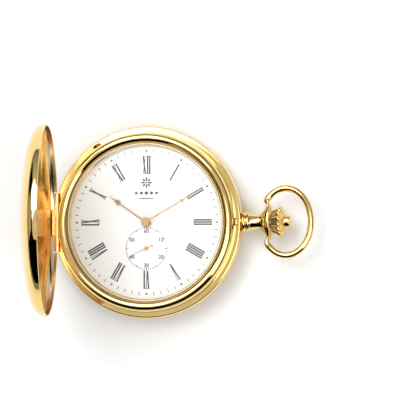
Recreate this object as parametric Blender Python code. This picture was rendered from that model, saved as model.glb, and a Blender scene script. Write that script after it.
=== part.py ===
"""Open-faced view of a full-hunter pocket watch with a quartz movement, as separate solids.

The watch lies on its back cover: +Z is up through the dial, +X points to 3 o'clock and the pendant,
and +Y to 12 o'clock. The origin is the centre of the flat on the back cover's outside. The front
cover stands open on its hinge at 9 o'clock. Sizes below are millimetres; meshes are made in metres.
"""

import math

import bmesh
import bpy
from mathutils import Matrix, Vector

MM = 0.001

# Case
CASE_R = 24.0
SEAM_Z = 4.3
LEDGE_Z = 7.4
BORE_R = 21.0
WALL = 0.5
GAP = 0.1
BACK_R = 23.75
BACK_FLAT_R = 8.0
BACK_DEPTH = 3.6
BACK_LIP_R = 22.5
LIP_RISE = 0.25

# Front cover and its hinge
COVER_R = 23.8
COVER_DEPTH = 5.9
COVER_RIM = 0.6
COVER_OPEN_DEG = 83.0
COVER_FULLNESS = 2.4
HINGE_X = -22.8
HINGE_Z = LEDGE_Z + GAP
KNUCKLE_R = 0.75
PIN_R = 0.3
HINGE_HALF = 7.4
NOTCH_HALF = 7.6
COVER_KNUCKLE_HALF = 3.2
TONGUE_HALF = 1.0
LOCK_HALF = 0.7

# Bezel, crystal and dial
BEZEL_R = 22.5
BEZEL_CREST = (21.0, 10.15)
REHAUT_R = 19.15
CRYSTAL_R = 19.4
DIAL_R = 20.5
DIAL_Z = 7.3
DIAL_THICK = 0.4
SECONDS_Y = -6.5

# Pendant, crown and bow, all on the line y = 0
STEM_Z = 0.5 * (SEAM_Z + LEDGE_Z)
PLUG_R = 1.3
PENDANT_X = CASE_R + GAP
BOW_PIVOT_X = 30.2
BOW_CENTRE_X = 35.0
BOW_LONG = 6.3
BOW_WIDE = 8.35
BOW_WIRE_R = 0.82
HEAD_HALF = 4.45
CROWN_X = 31.3
CROWN_LENGTH = 3.4
CROWN_R = 3.85
CROWN_FLUTES = 14
BUTTON_R = 1.6
BUTTON_TIP_X = 36.1
PULL = 1.0
PRESS = 0.8

# Movement
HOLDER_R = 19.6
MOVEMENT_R = 11.6
PLATE_Z = (5.5, 6.5)
BRIDGE_Z = (3.75, 4.1)
TRAIN_MODULE = 0.4 / 3
CANNON_MODULE = 0.225
HOUR_MODULE = 0.18
THIRD_AXIS = (-1.298, -3.358)
MIDDLE_AXIS = (2.6, -7.537)
ROTOR_AXIS = (4.6, -6.21)
MINUTE_WHEEL_AXIS = (2.9, 2.133)
SETTING_WHEEL_AXIS = (6.79, 1.51)
LEVER_PIN_X = 9.2
BATTERY_AT = (-5.6, 4.6)
BATTERY_R = 3.4
COIL_X = 7.6

# Hands, as angles from 12 o'clock
HOUR_ANGLE = 305.0
MINUTE_ANGLE = 60.0
SECONDS_ANGLE = 245.0

SEGMENTS = 40


def clear_scene():
    """Remove everything that the startup file holds."""
    for obj in list(bpy.data.objects):
        bpy.data.objects.remove(obj, do_unlink=True)


def material(name, colour, metallic, roughness):
    """A plain Principled material."""
    mat = bpy.data.materials.new(name)
    mat.use_nodes = True
    shader = mat.node_tree.nodes["Principled BSDF"]
    shader.inputs["Base Color"].default_value = (*colour, 1.0)
    shader.inputs["Metallic"].default_value = metallic
    shader.inputs["Roughness"].default_value = roughness
    return mat


# Meshes ---------------------------------------------------------------------------------------


def loop_edges(bm, points):
    """A closed loop of edges through the points."""
    verts = [bm.verts.new(p) for p in points]
    return [bm.edges.new((a, b)) for a, b in zip(verts, verts[1:] + verts[:1])]


def turned(profile, steps=SEGMENTS, sweep=360.0, start=0.0):
    """Turn a closed (radius, height) outline about Z; a part turn gets flat ends."""
    bm = bmesh.new()
    turn = Matrix.Rotation(math.radians(start), 4, "Z")
    points = [turn @ Vector((r, 0, z)) for r, z in profile]
    if sweep >= 360.0:
        edges = loop_edges(bm, points)
        edges = [e for e in edges if max(abs(v.co.x) + abs(v.co.y) for v in e.verts) > 1e-9]
        bmesh.ops.spin(bm, geom=edges, cent=(0, 0, 0), axis=(0, 0, 1), angle=math.tau,
                       steps=steps, use_merge=True)
    else:
        face = bm.faces.new([bm.verts.new(p) for p in points])
        bmesh.ops.spin(bm, geom=[face], cent=(0, 0, 0), axis=(0, 0, 1),
                       angle=math.radians(sweep), steps=steps)
    bmesh.ops.remove_doubles(bm, verts=bm.verts, dist=1e-5)
    loose = [e for e in bm.edges if not e.link_faces]
    bmesh.ops.delete(bm, geom=loose, context="EDGES")
    bmesh.ops.delete(bm, geom=[v for v in bm.verts if not v.link_faces], context="VERTS")
    bmesh.ops.recalc_face_normals(bm, faces=bm.faces)
    return bm


def turned_x(profile, steps=24, squash=None):
    """Turn a closed (x, radius) outline about the X axis; squash(x, radius) scales the height."""
    bm = turned([(r, x) for x, r in profile], steps)
    bm.transform(Matrix.Rotation(math.radians(90.0), 4, "Y"))
    for vert in bm.verts:
        if squash:
            vert.co.z *= squash(vert.co.x, math.hypot(vert.co.y, vert.co.z))
    bmesh.ops.recalc_face_normals(bm, faces=bm.faces)
    return bm


def plate(outline, low, high, holes=()):
    """A flat plate between two heights, with holes through it."""
    bm = bmesh.new()
    edges = []
    for loop in (outline, *holes):
        edges += loop_edges(bm, [(x, y, low) for x, y in loop])
    bmesh.ops.triangle_fill(bm, use_beauty=True, edges=edges)
    moved = bmesh.ops.extrude_face_region(bm, geom=list(bm.faces))["geom"]
    for vert in (v for v in moved if isinstance(v, bmesh.types.BMVert)):
        vert.co.z = high
    bmesh.ops.recalc_face_normals(bm, faces=bm.faces)
    return bm


def block(low, high):
    """A box between two corners."""
    bm = bmesh.new()
    size = [b - a for a, b in zip(low, high)]
    middle = [(a + b) / 2 for a, b in zip(low, high)]
    bmesh.ops.create_cube(bm, size=1.0, matrix=Matrix.LocRotScale(middle, None, size))
    return bm


def circle(radius, centre=(0.0, 0.0), count=16, start=0.0):
    """Points round a circle."""
    turn = [math.radians(start) + math.tau * i / count for i in range(count)]
    return [(centre[0] + radius * math.cos(a), centre[1] + radius * math.sin(a)) for a in turn]


def gear(teeth, module, phase=0.0, centre=(0.0, 0.0)):
    """A gear's outline: four points a tooth, with thin teeth so that the mesh runs free."""
    pitch_r = teeth * module / 2
    step = math.tau / teeth
    tooth = ((-0.24, -1.1), (-0.13, 0.8), (0.13, 0.8), (0.24, -1.1))
    points = []
    for i in range(teeth):
        for across, up in tooth:
            angle = math.radians(phase) + step * (i + across)
            radius = pitch_r + up * module
            points.append((centre[0] + radius * math.cos(angle), centre[1] + radius * math.sin(angle)))
    return points


def place(bm, matrix):
    """Move a mesh and give it back."""
    bm.transform(matrix)
    return bm


def at(x=0.0, y=0.0, z=0.0):
    """A move, in millimetres."""
    return Matrix.Translation((x, y, z))


# Objects --------------------------------------------------------------------------------------


def add(name, bm, mat, origin=(0.0, 0.0, 0.0), parent=None):
    """Make an object from a mesh in millimetres, with its origin at the point given."""
    bm.transform(Matrix.Scale(MM, 4) @ Matrix.Translation([-c for c in origin]))
    mesh = bpy.data.meshes.new(name)
    bm.to_mesh(mesh)
    bm.free()
    mesh.materials.append(mat)
    mesh.shade_smooth()
    mesh.set_sharp_from_angle(angle=math.radians(32.0))
    obj = bpy.data.objects.new(name, mesh)
    obj.location = Vector(origin) * MM
    bpy.context.scene.collection.objects.link(obj)
    if parent:
        obj.location = (0, 0, 0)
        obj.parent = parent
    return obj


def boolean(obj, bm, operation="DIFFERENCE", origin=(0.0, 0.0, 0.0)):
    """Cut a tool mesh from the object, or join it on; the tool stays as a hidden helper."""
    name = f"{obj.name}_tool_{len(obj.modifiers) + 1}"
    tool = add(name, bm, obj.data.materials[0], origin, obj.parent)
    tool.hide_render = True
    tool.display_type = "WIRE"
    modifier = obj.modifiers.new(f"{operation.lower()}_{len(obj.modifiers) + 1}", "BOOLEAN")
    modifier.operation = operation
    modifier.object = tool
    modifier.solver = "EXACT"


def joint_axis(name, location, turn_y=0.0):
    """An empty on a joint's axis."""
    empty = bpy.data.objects.new(name, None)
    empty.location = Vector(location) * MM
    empty.rotation_euler.y = math.radians(turn_y)
    bpy.context.scene.collection.objects.link(empty)
    return empty


# Case -----------------------------------------------------------------------------------------


def dome(radius, depth, fullness, count, inner=0.0):
    """(radius, depth) points of a dome from its rim to its middle, or to an inner radius."""
    points = []
    for i in range(count + 1):
        angle = math.radians(90.0) * i / count
        across = math.cos(angle) ** (2.0 / fullness)
        points.append((inner + (radius - inner) * across, depth * math.sin(angle) ** (2.0 / fullness)))
    return points


def build_back_cover(gold):
    """Snap back: a shallow dome with a flat to rest on and a lip that snaps into the case."""
    rise = SEAM_Z - GAP
    outside = [(r, BACK_DEPTH - d) for r, d in dome(BACK_R, BACK_DEPTH, 2.1, 6, BACK_FLAT_R)]
    inner_r = BACK_LIP_R - WALL + 0.05
    inside = [(r, BACK_DEPTH - d) for r, d in dome(inner_r, BACK_DEPTH - WALL, 2.1, 5, BACK_FLAT_R)]
    profile = [(BACK_LIP_R, rise), (BACK_R, rise), *outside, (0, 0), (0, WALL), *inside[::-1],
               (BACK_LIP_R - WALL, rise + LIP_RISE), (BACK_LIP_R, rise + LIP_RISE)]
    add("back_cover", turned(profile), gold)


def hinge_notch():
    """The space that the hinge needs in the case band and the bezel."""
    return block((-CASE_R - 1, -NOTCH_HALF, LEDGE_Z - 1.1), (HINGE_X + 0.85, NOTCH_HALF, LEDGE_Z + 0.95))


def spring_slot(side):
    """A slot through the wall for a case spring: side -1 is the hinge, 1 the pendant."""
    near, far = sorted((side * (BORE_R - 1.5), side * (23.2 if side > 0 else 22.0)))
    low = LEDGE_Z - (0.45 if side > 0 else 1.65)
    half = LOCK_HALF + 0.25 if side > 0 else TONGUE_HALF + 0.4
    return block((near, -half, low), (far, half, LEDGE_Z + (1.5 if side > 0 else 1.3)))


def build_case(gold):
    """Case band with its seat for the pendant, and its two hinge knuckles."""
    recess = SEAM_Z + LIP_RISE + 0.05
    profile = [(BORE_R, LEDGE_Z), (BORE_R, recess), (22.6, recess), (22.6, SEAM_Z), (23.6, SEAM_Z),
               (CASE_R, 5.0), (CASE_R, 6.7), (23.7, LEDGE_Z)]
    band = add("case_middle", turned(profile[::-1]), gold)
    boolean(band, hinge_notch())
    for side in (-1, 1):
        boolean(band, spring_slot(side))
    bore = turned_x([(BORE_R - 2, 0), (CASE_R + 1, 0), (CASE_R + 1, PLUG_R + 0.05),
                     (BORE_R - 2, PLUG_R + 0.05)], 20)
    boolean(band, place(bore, at(z=STEM_Z)))
    foot = [(-0.5, LEDGE_Z - 1.05 - HINGE_Z), (0.6, LEDGE_Z - 1.05 - HINGE_Z)]
    arc = [(KNUCKLE_R * math.cos(a), KNUCKLE_R * math.sin(a))
           for a in (math.radians(-35 + 250 * i / 10) for i in range(11))]
    for name, side in (("case_hinge_knuckle_upper", 1), ("case_hinge_knuckle_lower", -1)):
        near, far = sorted((side * (COVER_KNUCKLE_HALF + 0.15), side * HINGE_HALF))
        add(name, along_y([*foot, *arc], near, far), gold)
    pin = [(0, -HINGE_HALF), (PIN_R, -HINGE_HALF), (PIN_R, HINGE_HALF), (0, HINGE_HALF)]
    rod = place(turned(pin, 10), at(HINGE_X, 0, HINGE_Z) @ Matrix.Rotation(math.radians(90), 4, "X"))
    add("hinge_pin", rod, gold)


def along_y(outline, near, far):
    """A hinge leaf: an outline about the hinge line in X and Z, drawn out along Y, with a pin bore."""
    hole = circle(PIN_R + 0.06, count=10)
    bm = plate([(x, z) for x, z in outline], -far, -near, [hole])
    bm.transform(at(HINGE_X, 0, HINGE_Z) @ Matrix.Rotation(math.radians(90), 4, "X"))
    return bm


def build_front_cover(gold):
    """Domed hunter cover, made shut and then stood open by its hinge's empty."""
    hinge = (HINGE_X, 0, HINGE_Z)
    axis = joint_axis("cover_hinge_axis", hinge, -COVER_OPEN_DEG)
    outside = [(r, HINGE_Z + COVER_RIM + d)
               for r, d in dome(COVER_R, COVER_DEPTH - COVER_RIM, COVER_FULLNESS, 7)]
    inside = [(r, HINGE_Z + WALL + d)
              for r, d in dome(COVER_R - 0.55, COVER_DEPTH - 2 * WALL, COVER_FULLNESS, 6)]
    profile = [(COVER_R - 0.55, HINGE_Z), (COVER_R, HINGE_Z), *outside[:-1], (0, outside[-1][1]),
               (0, inside[-1][1]), *inside[:-1][::-1]]
    cover = add("front_cover", turned(profile), gold, hinge, axis)
    clear = HINGE_Z + KNUCKLE_R + 0.08
    gap = block((-CASE_R - 1, -NOTCH_HALF, HINGE_Z - 1), (HINGE_X + 1.2, NOTCH_HALF, clear))
    boolean(cover, gap, origin=hinge)
    tab = [(0.31, 1.3), (0.12, 1.3)]
    arc = [(KNUCKLE_R * math.cos(a), KNUCKLE_R * math.sin(a))
           for a in (math.radians(79 + 342 * i / 10) for i in range(11))]
    knuckle = along_y([*tab, *arc], -COVER_KNUCKLE_HALF, COVER_KNUCKLE_HALF)
    leaf = add("cover_hinge_knuckle", knuckle, gold, hinge, axis)
    middle = block((HINGE_X - 1, -TONGUE_HALF - 0.25, HINGE_Z - 1),
                   (HINGE_X + 1, TONGUE_HALF + 0.25, HINGE_Z + 0.8))
    boolean(leaf, middle, origin=hinge)


def build_case_springs(steel):
    """Lift spring at the hinge and lock spring at the pendant: curved leaves inside the case wall."""
    root = (20.5 * math.cos(math.radians(-128)), 20.5 * math.sin(math.radians(-128)), 0)
    leaf = [(20.35, 4.75), (20.75, 4.75), (20.75, 6.0), (20.35, 6.0)]
    lift = add("lift_spring", turned(leaf, 12, 55, -184), steel, root)
    arm = block((-21.95, -TONGUE_HALF, 5.9), (-20.45, TONGUE_HALF, 6.5))
    boolean(lift, arm, "UNION", root)
    tongue = block((HINGE_X + 0.42, -TONGUE_HALF, 6.36), (HINGE_X + 0.8, TONGUE_HALF, HINGE_Z + 0.45))
    boolean(lift, tongue, "UNION", root)
    boolean(lift, block((HINGE_X + 0.42, -TONGUE_HALF, 6.36), (-21.0, TONGUE_HALF, 6.62)), "UNION", root)
    root = (20.5 * math.cos(math.radians(52)), 20.5 * math.sin(math.radians(52)), 0)
    lock = add("lock_spring", turned([(20.52, 4.6), (20.85, 4.6), (20.85, 7.1), (20.52, 7.1)], 12, 62,
                                     -9), steel, root)
    hole = turned_x([(19, 0), (22, 0), (22, 1.05), (19, 1.05)], 16)
    boolean(lock, place(hole, at(z=STEM_Z)), origin=root)
    boolean(lock, block((20.55, -LOCK_HALF, 7.04), (22.85, LOCK_HALF, 7.26)), "UNION", root)
    boolean(lock, block((22.57, -LOCK_HALF, 7.1), (22.85, LOCK_HALF, 8.1)), "UNION", root)
    boolean(lock, block((22.65, -LOCK_HALF, 7.85), (23.1, LOCK_HALF, 8.05)), "UNION", root)


def build_bezel(gold, glass, rubber):
    """Polished bezel ring with the crystal and its gasket."""
    crest_r, crest_z = BEZEL_CREST
    arc = [(crest_r + 1.5 * math.cos(a), 8.35 + (crest_z - 8.35) * math.sin(a))
           for a in (math.radians(146 * i / 8) for i in range(9))]
    profile = [(20.7, 7.5), (BEZEL_R, 7.5), *arc, (19.75, 8.9), (REHAUT_R, 8.9),
               (REHAUT_R + 0.05, 7.85), (20.7, 7.85)]
    bezel = add("crystal_bezel", turned(profile), gold)
    boolean(bezel, hinge_notch())
    boolean(bezel, spring_slot(-1))
    boolean(bezel, block((21.6, -LOCK_HALF - 0.25, 7.0), (24, LOCK_HALF + 0.25, 8.9)))
    add("crystal_gasket", turned([(19.45, 8.95), (19.7, 8.95), (19.7, 9.6), (19.45, 9.6)]), rubber)
    top = [(CRYSTAL_R * math.cos(a),
            9.65 + 0.75 * math.sin(a)) for a in (math.radians(90 * i / 4) for i in range(5))]
    under = [(18.2 * math.cos(a),
              9.0 + 0.5 * math.sin(a)) for a in (math.radians(90 * i / 3) for i in range(4))]
    profile = [(CRYSTAL_R, 8.95), *top[:-1], (0, 10.4), (0, 9.5), *under[:-1][::-1], (18.2, 8.95)]
    add("crystal", turned(profile), glass)


def build_dial(enamel):
    """Dial disc with holes for the hands' arbors, and two feet."""
    holes = [circle(1.1, count=20), circle(0.32, (0, SECONDS_Y), 12)]
    dial = add("dial", plate(circle(DIAL_R, count=SEGMENTS), DIAL_Z, DIAL_Z + DIAL_THICK, holes), enamel)
    for angle in (38, 218):
        x, y = 15.6 * math.cos(math.radians(angle)), 15.6 * math.sin(math.radians(angle))
        boolean(dial, plate(circle(0.4, (x, y), 8), 5.6, DIAL_Z + 0.1), "UNION")


def squash_head(x, radius):
    """Height factor along the pendant: round at the neck and the bore, flattened at the bow head."""
    if radius < 1.5:
        return 1.0
    share = min(max((x - 28.2) / 2.2, 0.0), 1.0)
    return 1.0 - 0.38 * share


def build_pendant(gold, steel):
    """Pendant with its beaded neck and bow head, its tube, and the bow."""
    pivot = (BOW_PIVOT_X, 0, STEM_Z)
    neck = [(PENDANT_X, PLUG_R), (PENDANT_X, 2.35), (24.5, 2.6), (24.9, 2.45), (25.05, 2.2),
            (25.3, 2.5), (25.8, 2.5),
            (26.1, 2.05), (28.2, 1.8), (28.9, 2.15), (29.5, 2.85), (30.0, 3.7), (30.5,
                                                                                 HEAD_HALF), (31.0,
                                                                                              HEAD_HALF),
            (31.0, 4.1), (30.75, 3.8), (30.75, 1.42), (24.35, 1.42), (24.35, 0.95), (23.0, 0.95), (23.0,
                                                                                                   PLUG_R)]
    head = add("pendant", place(turned_x(neck, 24, squash_head), at(z=STEM_Z)), gold)
    for side in (-1, 1):
        hole = plate(circle(0.42, count=10), 3.35, 6.0)
        boolean(head, place(hole, at(*pivot) @ Matrix.Rotation(math.radians(-90 * side), 4, "X")))
    tube = turned_x([(24.4, 0.97), (31.2, 0.97), (31.2, 1.38), (24.4, 1.38)], 20)
    add("pendant_tube", place(tube, at(z=STEM_Z)), steel)
    add("bow", bow_mesh(), gold, pivot)


def bow_mesh():
    """Oval wire from pivot to pivot, with a pin at each end that points into the head."""
    bm = bmesh.new()
    reach = math.acos((BOW_PIVOT_X - BOW_CENTRE_X) / BOW_LONG)
    count, sides = 30, 8
    rings = []
    for i in range(count + 1):
        angle = -reach + 2 * reach * i / count
        middle = Vector((BOW_CENTRE_X + BOW_LONG * math.cos(angle), BOW_WIDE * math.sin(angle), STEM_Z))
        out = Vector((math.cos(angle) / BOW_LONG, math.sin(angle) / BOW_WIDE, 0)).normalized()
        if i in (0, count):
            out = Vector((-1, 0, 0))
        rings.append(ring(bm, middle, out, BOW_WIRE_R, sides))
    for side, first in ((-1, True), (1, False)):
        shoulder = ring(bm, Vector((BOW_PIVOT_X, side * (HEAD_HALF + 0.1), STEM_Z)), Vector((-1, 0, 0)),
                        0.6, sides)
        root = ring(bm, Vector((BOW_PIVOT_X, side * (HEAD_HALF + 0.1), STEM_Z)), Vector((-1, 0, 0)),
                    0.34, sides)
        tip = ring(bm, Vector((BOW_PIVOT_X, side * 3.5, STEM_Z)), Vector((-1, 0, 0)), 0.34, sides)
        chain = [tip, root, shoulder]
        rings = [*chain, *rings] if first else [*rings, *chain[::-1]]
    for a, b in zip(rings, rings[1:]):
        for i in range(sides):
            bm.faces.new((a[i], a[(i + 1) % sides], b[(i + 1) % sides], b[i]))
    bm.faces.new(rings[0])
    bm.faces.new(rings[-1])
    bmesh.ops.recalc_face_normals(bm, faces=bm.faces)
    return bm


def ring(bm, middle, out, radius, sides):
    """A ring of points about a middle, in the plane of out and Z."""
    turn = [math.tau * i / sides for i in range(sides)]
    return [bm.verts.new(middle + radius * (out * math.cos(a) + Vector((0, 0,
                                                                        1)) * math.sin(a))) for a in turn]


def build_crown(gold, steel):
    """Fluted crown, the release button in its middle with the push stem, and the setting stem."""
    root_x, tip_x = CROWN_X, CROWN_X + CROWN_LENGTH
    profile = [(root_x, 2.4), (root_x + 0.3, 2.9), (root_x + 1.6, 3.5), (root_x + 2.2, CROWN_R),
               (root_x + 2.6, CROWN_R - 0.1), (tip_x - 0.2, 2.6), (tip_x, 2.2), (tip_x, BUTTON_R + 0.06),
               (root_x + 1.2, BUTTON_R + 0.06), (root_x + 1.2, 0.92), (root_x, 0.92)]
    bm = turned_x(profile, CROWN_FLUTES * 3)
    for vert in bm.verts:
        radius = math.hypot(vert.co.y, vert.co.z)
        if radius > 2.5:
            flute = 0.5 + 0.5 * math.cos(CROWN_FLUTES * math.atan2(vert.co.z, vert.co.y))
            factor = 1.0 - 0.12 * (1.0 - flute)
            vert.co.y *= factor
            vert.co.z *= factor
    add("crown", place(bm, at(z=STEM_Z)), gold, (root_x, 0, STEM_Z))
    button = [(root_x + 1.3 + PRESS, 0), (root_x + 1.3 + PRESS, BUTTON_R), (BUTTON_TIP_X - 0.2, BUTTON_R),
              (BUTTON_TIP_X, BUTTON_R - 0.2), (BUTTON_TIP_X, 0)]
    add("release_button", place(turned_x(button, 24), at(z=STEM_Z)), gold, (BUTTON_TIP_X, 0, STEM_Z))
    push = [(20.25, 0.55), (20.25, 0.82), (20.95, 0.82), (20.95, 1.14), (21.25, 1.14), (21.25, 0.82),
            (root_x + 1.25 + PRESS, 0.82), (root_x + 1.25 + PRESS, 0), (23.0, 0), (23.0, 0.55)]
    add("push_stem", place(turned_x(push[::-1], 14), at(z=STEM_Z)), steel, (20.65, 0, STEM_Z))
    stem = [(5.2, 0), (5.2, 0.2), (6.2, 0.2), (6.2, 0.36), (8.5, 0.36), (8.5, 0.5), (8.9, 0.5),
            (8.9, 0.3), (9.5, 0.3),
            (9.5, 0.5), (21.8, 0.5), (21.8, 0)]
    add("setting_stem", place(turned_x(stem[::-1], 10), at(z=STEM_Z)), steel, (5.2, 0, STEM_Z))


# Movement -------------------------------------------------------------------------------------


def stack(name, layers, mat, centre=(0.0, 0.0), bore=0.0):
    """Wheels, pinions and an arbor on one axis, joined into one solid.

    Each layer is an outline with its low and high heights; the layers touch face to face and are united.
    """
    hole = [circle(bore, centre, 12)] if bore else []
    first, *rest = layers
    obj = add(name, plate(first[0], first[1], first[2], hole), mat, (*centre, first[1]))
    for outline, low, high in rest:
        boolean(obj, plate(outline, low, high, hole), "UNION", (*centre, first[1]))
    return obj


def build_holder(plastic, brass, steel):
    """Plastic ring that carries the movement in the case, with two clamps and their screws."""
    ring_outline = circle(HOLDER_R, count=40)
    holder = add("movement_holder", plate(ring_outline, 4.6, 7.2, [circle(MOVEMENT_R + 0.15,
                                                                          count=36)]), plastic)
    boolean(holder, block((10, -0.8, 5.1), (HOLDER_R + 1, 0.8, 7.5)))
    for angle in (38, 218):
        x, y = 15.6 * math.cos(math.radians(angle)), 15.6 * math.sin(math.radians(angle))
        boolean(holder, plate(circle(0.5, (x, y), 8), 4.0, 8.0))
    for name, angle in (("upper", 100), ("lower", 280)):
        turn = Matrix.Rotation(math.radians(angle), 4, "Z")
        clamp = plate([(10.6, -1.2), (16.0, -1.2), (16.0, 1.2), (10.6, 1.2)], 4.2, 4.5,
                      [circle(0.55, (14.4, 0), 8)])
        add(f"movement_clamp_{name}", place(clamp, turn), brass)
        screw = [(0, 3.75), (0.95, 3.75), (0.95, 4.15), (0.45, 4.15), (0.45, 4.55), (0, 4.55)]
        add(f"clamp_screw_{name}", place(turned(screw[::-1], 12), turn @ at(14.4)), steel)


def build_plates(brass, steel):
    """Mainplate with the recess for the motion work, and the train bridge with its screws."""
    low, high = PLATE_Z
    holes = [circle(0.75, count=12), circle(0.3, (0, SECONDS_Y), 8)]
    main = add("mainplate", plate(circle(MOVEMENT_R, count=36), low, high, holes), brass)
    rim = plate(circle(MOVEMENT_R, count=36), high - 0.1, 7.2, [circle(MOVEMENT_R - 1.0, count=36)])
    boolean(main, rim, "UNION")
    boolean(main, block((5.0, -1.0, 5.0), (13, 1.0, 7.5)))
    outline = [(-4.8, -1.6), (-5.2, -6.0), (-3.0, -9.8), (3.2, -10.4), (5.9, -8.6), (5.9, -4.4),
               (3.4, 0.6), (0.0, 2.2)]
    pivots = [circle(0.2, centre, 8) for centre in
              ((0, 0), (0, SECONDS_Y), THIRD_AXIS, MIDDLE_AXIS, ROTOR_AXIS)]
    add("train_bridge", plate(outline, *BRIDGE_Z, pivots), brass)
    posts = (("left", (-4.5, -6.0)), ("right", (5.0, -8.4)), ("top", (2.6, 0.6)))
    for name, (x, y) in posts:
        screw = [(0, 3.3), (0.6, 3.3), (0.6, BRIDGE_Z[0] - 0.03), (0, BRIDGE_Z[0] - 0.03)]
        add(f"bridge_screw_{name}", place(turned(screw[::-1], 12), at(x, y)), steel)


def build_train(brass, steel, gold):
    """Centre, third and seconds wheels, the stepping train, and the hands."""
    arbor = 0.14
    stack("centre_wheel", [
        (gear(48, TRAIN_MODULE), 5.0, 5.2), (circle(0.55, count=12), 5.15, 8.9),
        (gear(8, CANNON_MODULE), 6.62, 6.82), (circle(arbor, count=8), 3.8, 5.05)], brass)
    stack("third_wheel", [
        (gear(45, TRAIN_MODULE, 0, THIRD_AXIS), 4.55, 4.75),
        (gear(6, TRAIN_MODULE, mesh_phase((0, 0), THIRD_AXIS, 48, 6), THIRD_AXIS), 4.7, 5.3),
        (circle(arbor, THIRD_AXIS, 8), 3.8, 4.6), (circle(arbor, THIRD_AXIS, 8), 5.25,
                                                   5.45)], brass, THIRD_AXIS)
    seconds = (0.0, SECONDS_Y)
    stack("seconds_wheel", [
        (gear(36, TRAIN_MODULE, 0, seconds), 5.0, 5.2),
        (gear(6, TRAIN_MODULE, mesh_phase(THIRD_AXIS, seconds, 45, 6), seconds), 4.5, 5.05),
        (circle(arbor, seconds, 8), 3.8, 4.55), (circle(0.2, seconds, 8), 5.15, 8.2)], brass, seconds)
    stack("intermediate_wheel", [
        (gear(30, TRAIN_MODULE, 0, MIDDLE_AXIS), 4.55, 4.7),
        (gear(6, TRAIN_MODULE, mesh_phase(seconds, MIDDLE_AXIS, 36, 6), MIDDLE_AXIS), 4.65, 5.3),
        (circle(arbor, MIDDLE_AXIS, 8), 3.8, 4.6), (circle(arbor, MIDDLE_AXIS, 8), 5.25,
                                                    5.45)], brass, MIDDLE_AXIS)
    stack("rotor", [
        (circle(0.6, ROTOR_AXIS, 12), 4.95, 5.4),
        (gear(6, TRAIN_MODULE, mesh_phase(MIDDLE_AXIS, ROTOR_AXIS, 30, 6), ROTOR_AXIS), 4.45, 5.0),
        (circle(arbor, ROTOR_AXIS, 8), 3.8, 4.5)], steel, ROTOR_AXIS)
    stack("hour_wheel", [
        (gear(32, HOUR_MODULE), 6.95, 7.12), (circle(0.98, count=16), 7.1, 8.35)], brass, bore=0.65)
    phase = mesh_phase((0, 0), MINUTE_WHEEL_AXIS, 8, 24)
    stack("minute_wheel", [
        (gear(24, CANNON_MODULE, phase, MINUTE_WHEEL_AXIS), 6.62, 6.8),
        (gear(8, HOUR_MODULE, mesh_phase((0, 0), MINUTE_WHEEL_AXIS, 32, 8), MINUTE_WHEEL_AXIS), 6.75, 7.15)],
        brass, MINUTE_WHEEL_AXIS)
    setting_phase = mesh_phase(MINUTE_WHEEL_AXIS, SETTING_WHEEL_AXIS, 24, 11, phase)
    setting_gear = gear(11, CANNON_MODULE, setting_phase, SETTING_WHEEL_AXIS)
    stack("setting_wheel", [(setting_gear, 6.62, 6.8)], brass, SETTING_WHEEL_AXIS)
    hand("hour_hand", HOUR_ANGLE, 11.4, 8.38, 0.15, (7.9, 9.6), 0.62, 1.2, 0.57, gold)
    hand("minute_hand", MINUTE_ANGLE, 16.4, 8.95, 0.15, (10.2, 11.2), 0.42, 1.0, 0.0, gold)
    hand("seconds_hand", SECONDS_ANGLE, 3.9, 8.22, 0.1, (-1.9, -1.3), 0.3, 0.5, 0.0, gold, (0.0, SECONDS_Y))


def mesh_phase(axis, mate_axis, teeth, mate_teeth, phase=0.0):
    """The turn in degrees that sets a mate's gap over the gear's tooth on their line of centres."""
    direction = math.degrees(math.atan2(mate_axis[1] - axis[1], mate_axis[0] - axis[0]))
    behind = ((direction - phase) * teeth / 360.0) % 1.0
    return direction + 180.0 + (behind + 0.5) * 360.0 / mate_teeth


def hand(name, clock_angle, length, low, thick, swell, swell_half, hub_r, bore, gold, centre=(0.0, 0.0)):
    """A thin hand: a hub, a needle and one swelling, turned to its clock angle."""
    near, far = swell
    half = 0.14
    outline = [(hub_r * math.cos(a), hub_r * math.sin(a))
               for a in (math.radians(12 + (336 if near > 0 else 156) * i / 12) for i in range(13))]
    if near > 0:
        middle = near + 0.4 * (far - near)
        blade = [(near, -half), (middle, -swell_half), (far, -half), (length, -0.06),
                 (length, 0.06), (far, half), (middle, swell_half), (near, half)]
        outline = [*outline, *blade]
    else:
        middle = 0.5 * (near + far)
        tail = [(far, half), (middle, swell_half), (near, 0.12), (near, -0.12), (middle, -swell_half),
                (far, -half)]
        lower = [(x, -y) for x, y in outline[::-1]]
        outline = [*outline, *tail, *lower, (length, -0.06), (length, 0.06)]
    holes = [circle(bore, count=10)] if bore else []
    turn = Matrix.Rotation(math.radians(90 - clock_angle), 4, "Z")
    add(name, place(plate(outline, low, low + thick, holes), at(*centre) @ turn), gold, (*centre, low))


def build_setting(steel):
    """Clutch on the stem's square, setting lever with its pin in the stem's groove, and the yoke."""
    teeth = turned_x([(6.9, 0.42), (8.3, 0.42), (8.3, 0.7), (7.8, 0.7), (7.8, 0.5), (7.4, 0.5),
                      (7.4, 0.7), (6.9, 0.7)], 16)
    add("setting_clutch", place(teeth, at(z=STEM_Z)), steel, (6.9, 0, STEM_Z))
    pivot = (LEVER_PIN_X + PULL / 2, -1.9, 6.55)
    arm = [(8.95, 0.25), (9.45, 0.25), (10.0, -1.7), (9.9, -2.2), (9.5, -2.2), (9.35, -1.7)]
    lever = add("setting_lever", plate(arm, 6.55, 6.7), steel, pivot)
    boolean(lever, plate(circle(0.16, (LEVER_PIN_X, 0.0), 8), STEM_Z + 0.36, 6.6), "UNION", pivot)
    yoke = [(7.5, 0.75), (7.7, 0.75), (7.7, 1.9), (8.6, 2.6), (8.3, 3.0), (7.5, 2.3)]
    add("clutch_yoke", plate(yoke, 4.7, 5.2), steel)


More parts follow.
